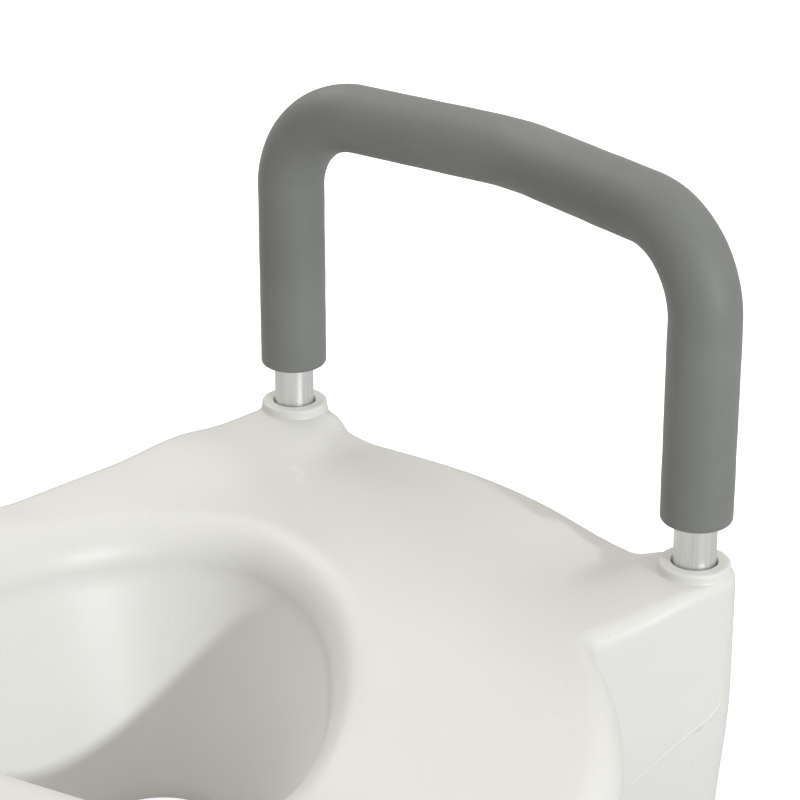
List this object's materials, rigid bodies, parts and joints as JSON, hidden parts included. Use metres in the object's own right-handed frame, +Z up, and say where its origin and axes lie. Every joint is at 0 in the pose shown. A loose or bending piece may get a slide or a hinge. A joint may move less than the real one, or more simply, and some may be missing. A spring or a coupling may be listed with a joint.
{
  "type": "raised toilet seat",
  "caption": "Raised toilet seat: hollow white moulding with an egg-shaped opening and front scoop, removable padded bent-tube armrests and a front screw clamp.",
  "frame": {"origin": "under the middle of the whole object, at the height of the skirt's lower edge", "axes": "+X to the sitting person's left, +Y to the rear (the tank side), +Z up"},
  "size_m": [0.5824, 0.4588, 0.3484],
  "materials": {
    "body_plastic": "satin",
    "foam_grip": "matte",
    "tube_aluminium": "satin",
    "steel": "satin",
    "grey_plastic": "matte",
    "black_rubber": "matte"
  },
  "bodies": {
    "seat": {"seat_body": "body_plastic", "clamp_bush": "grey_plastic", "clamp_thrust_washer": "steel", "clamp_skirt_pad": "black_rubber", "hand_screw_left_front_washer": "steel", "rim_pad_left_front": "black_rubber", "hand_screw_left_rear_washer": "steel", "rim_pad_left_rear": "black_rubber", "hand_screw_right_front_washer": "steel", "rim_pad_right_front": "black_rubber", "hand_screw_right_rear_washer": "steel", "rim_pad_right_rear": "black_rubber"},
    "clamp_screw": {"clamp_knob": "grey_plastic", "clamp_knob_cap": "body_plastic", "clamp_spindle": "steel", "clamp_clip": "steel"},
    "clamp_jaw": {"clamp_jaw": "body_plastic", "clamp_nut": "steel", "clamp_jaw_pad": "black_rubber"},
    "arm_left": {"arm_left_tube": "tube_aluminium", "arm_left_grip": "foam_grip", "arm_left_front_insert": "grey_plastic", "arm_left_rear_insert": "grey_plastic"},
    "hand_screw_left_front": {"hand_screw_left_front_shank": "steel", "hand_screw_left_front_knob": "grey_plastic"},
    "hand_screw_left_rear": {"hand_screw_left_rear_shank": "steel", "hand_screw_left_rear_knob": "grey_plastic"},
    "arm_right": {"arm_right_tube": "tube_aluminium", "arm_right_grip": "foam_grip", "arm_right_front_insert": "grey_plastic", "arm_right_rear_insert": "grey_plastic"},
    "hand_screw_right_front": {"hand_screw_right_front_shank": "steel", "hand_screw_right_front_knob": "grey_plastic"},
    "hand_screw_right_rear": {"hand_screw_right_rear_shank": "steel", "hand_screw_right_rear_knob": "grey_plastic"}
  },
  "joints": [
    {"name": "arm_left_lift", "type": "slide", "parent": "seat", "child": "arm_left", "axis": [0, 0, 1], "range_m": [0, 0.118]},
    {"name": "hand_screw_left_front_spin", "type": "hinge", "parent": "seat", "child": "hand_screw_left_front", "pos_m": [0.25, -0.088, 0.03], "axis": [0, 0, 1], "continuous": true},
    {"name": "hand_screw_left_rear_spin", "type": "hinge", "parent": "seat", "child": "hand_screw_left_rear", "pos_m": [0.25, 0.208, 0.03], "axis": [0, 0, 1], "continuous": true},
    {"name": "arm_right_lift", "type": "slide", "parent": "seat", "child": "arm_right", "axis": [0, 0, 1], "range_m": [0, 0.118]},
    {"name": "hand_screw_right_front_spin", "type": "hinge", "parent": "seat", "child": "hand_screw_right_front", "pos_m": [-0.25, -0.088, 0.03], "axis": [0, 0, 1], "continuous": true},
    {"name": "hand_screw_right_rear_spin", "type": "hinge", "parent": "seat", "child": "hand_screw_right_rear", "pos_m": [-0.25, 0.208, 0.03], "axis": [0, 0, 1], "continuous": true},
    {"name": "clamp_knob_spin", "type": "hinge", "parent": "seat", "child": "clamp_screw", "pos_m": [0, -0.194, 0.046], "axis": [0, 1, 0], "range_deg": [0, 2700]},
    {"name": "clamp_jaw_slide", "type": "slide", "parent": "seat", "child": "clamp_jaw", "axis": [0, -1, 0], "range_m": [0, 0.0301]}
  ],
  "couplings": [
    {"joint": "clamp_jaw_slide", "follows": "clamp_knob_spin", "m_per_rad": 0.00063662}
  ]
}
